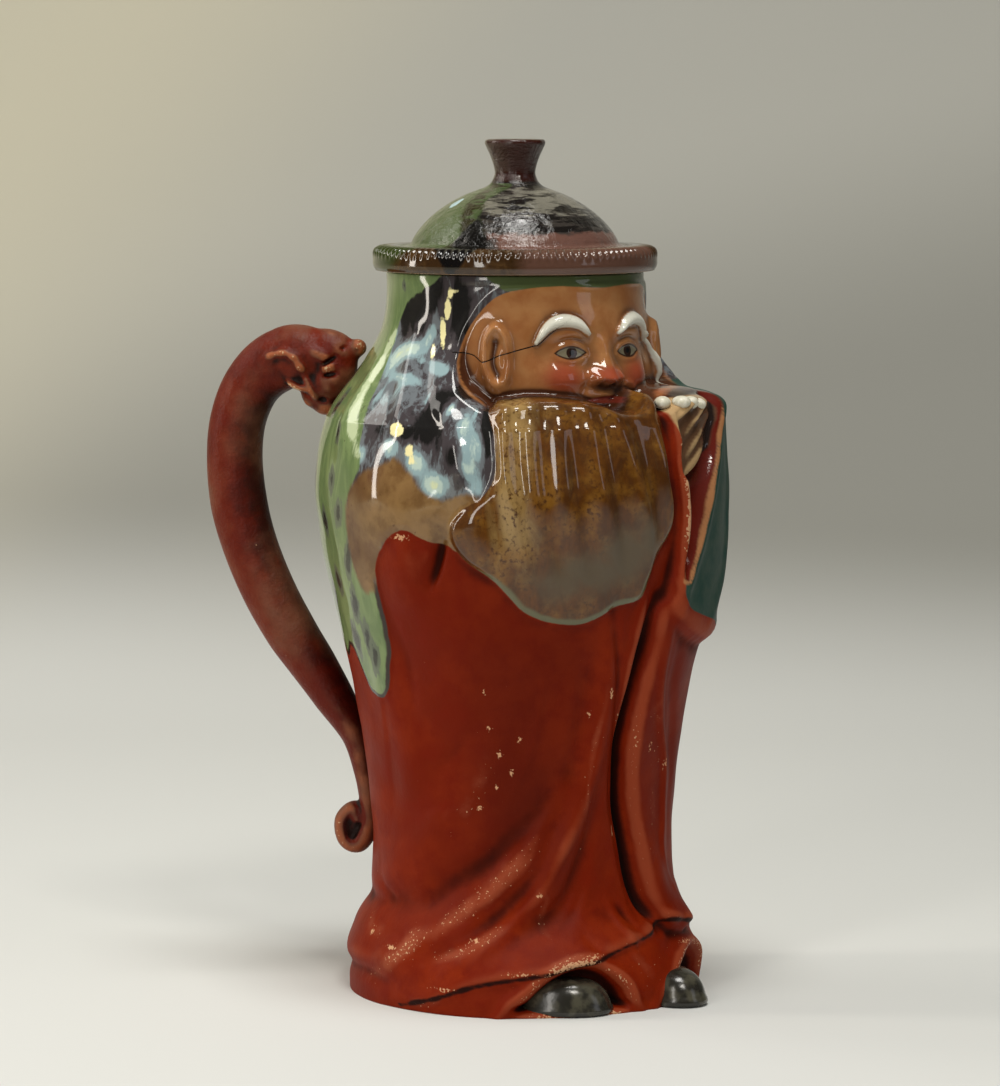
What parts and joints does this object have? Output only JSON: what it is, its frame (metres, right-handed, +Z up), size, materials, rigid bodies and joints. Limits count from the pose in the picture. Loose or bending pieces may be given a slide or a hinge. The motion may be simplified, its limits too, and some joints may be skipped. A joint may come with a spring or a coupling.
{
  "type": "lidded figural jug",
  "caption": "Glazed stoneware jug in the form of a robed, bearded old man, with a dragon handle and a domed lid that lifts off.",
  "frame": {"origin": "vessel's axis at the flat underside of the base", "axes": "+Z up along the vessel's axis, +Y towards the handle, the figure's face towards -X and -Y"},
  "size_m": [0.1155, 0.1494, 0.24],
  "materials": {
    "jug_glaze": "matte red slip and streaked gloss glaze over a cream body",
    "lid_glaze": "streaked dark gloss glaze"
  },
  "bodies": {
    "root": {"jug_body": "jug_glaze", "lid": "lid_glaze"}
  },
  "joints": []
}
